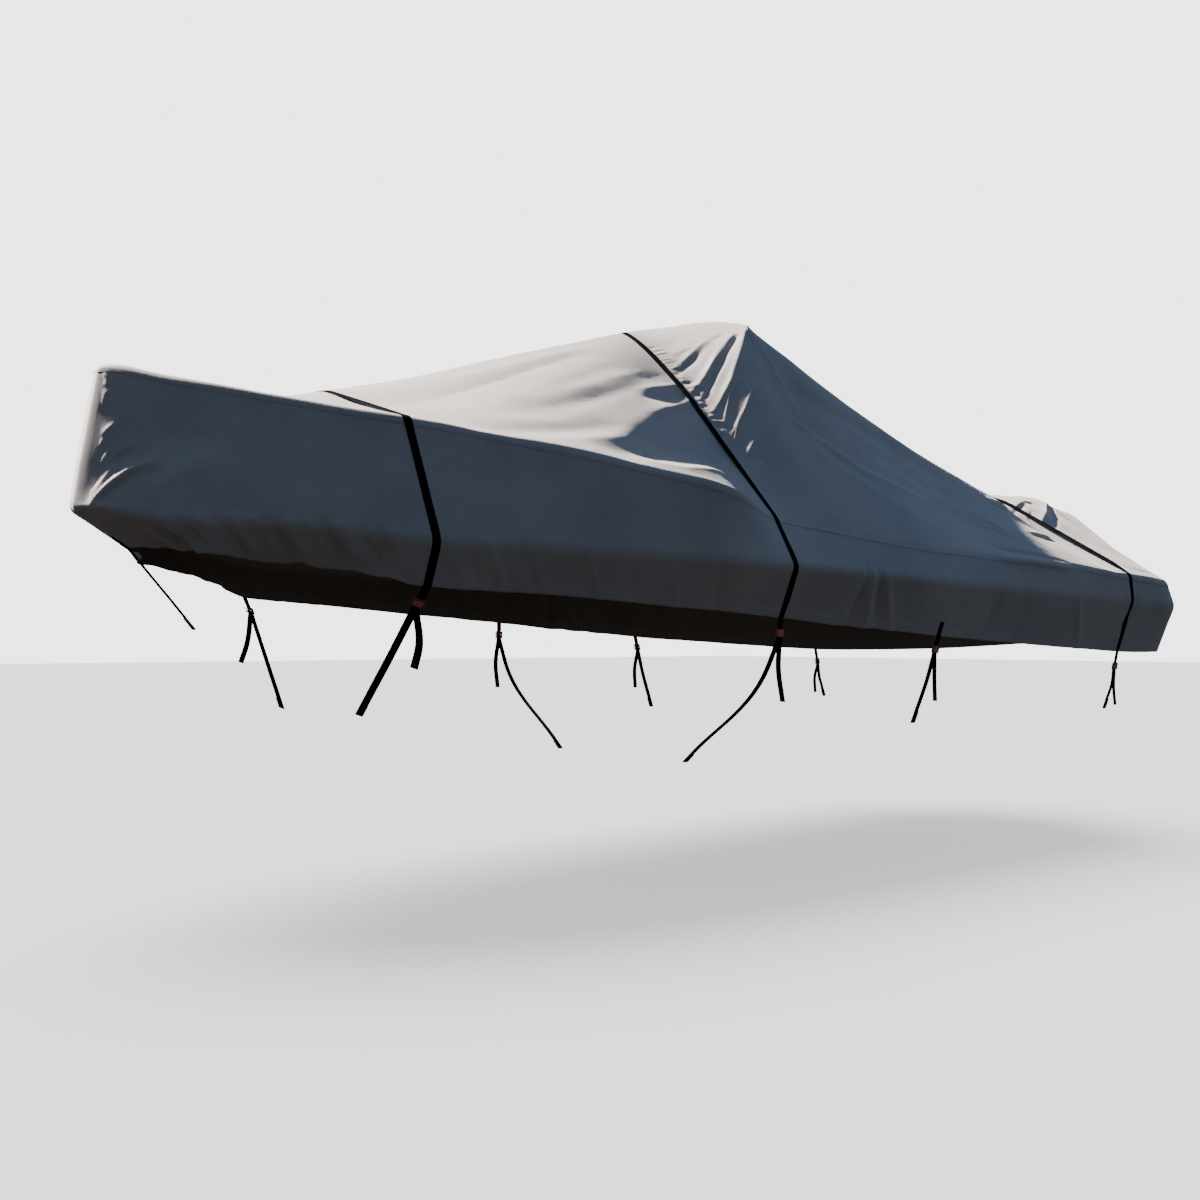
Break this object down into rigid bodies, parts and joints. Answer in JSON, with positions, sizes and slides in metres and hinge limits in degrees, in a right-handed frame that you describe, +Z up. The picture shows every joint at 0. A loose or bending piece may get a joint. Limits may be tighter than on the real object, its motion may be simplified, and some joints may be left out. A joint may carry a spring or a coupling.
{
  "type": "boat cover",
  "caption": "Fitted boat cover of grey cloth, draped over a peak and a stern hump, with tucked skirt, black webbing ties and red cam buckles.",
  "frame": {"origin": "underside of the cloth at the crown, the highest part of the top, on the centre line", "axes": "+X towards the bow, +Y to port, +Z up"},
  "size_m": [6.1571, 2.298, 2.1366],
  "materials": {
    "cloth": "matt coated polyester, warm grey",
    "webbing": "black woven webbing",
    "buckle": "dull red moulded plastic"
  },
  "bodies": {
    "root": {"deck_panel": "cloth", "side_panel_port": "cloth", "side_panel_starboard": "cloth", "stern_panel": "cloth", "tie_forward": "webbing", "tie_middle": "webbing", "tie_aft": "webbing", "tab_port": "webbing", "tab_starboard": "webbing", "bow_strap": "webbing", "lower_forward_port": "webbing", "buckle_forward_port": "buckle", "lower_middle_port": "webbing", "buckle_middle_port": "buckle", "lower_hem_port": "webbing", "buckle_hem_port": "buckle", "lower_aft_port": "webbing", "buckle_aft_port": "buckle", "lower_forward_starboard": "webbing", "buckle_forward_starboard": "buckle", "lower_middle_starboard": "webbing", "buckle_middle_starboard": "buckle", "lower_hem_starboard": "webbing", "buckle_hem_starboard": "buckle", "lower_aft_starboard": "webbing", "buckle_aft_starboard": "buckle"}
  },
  "joints": []
}
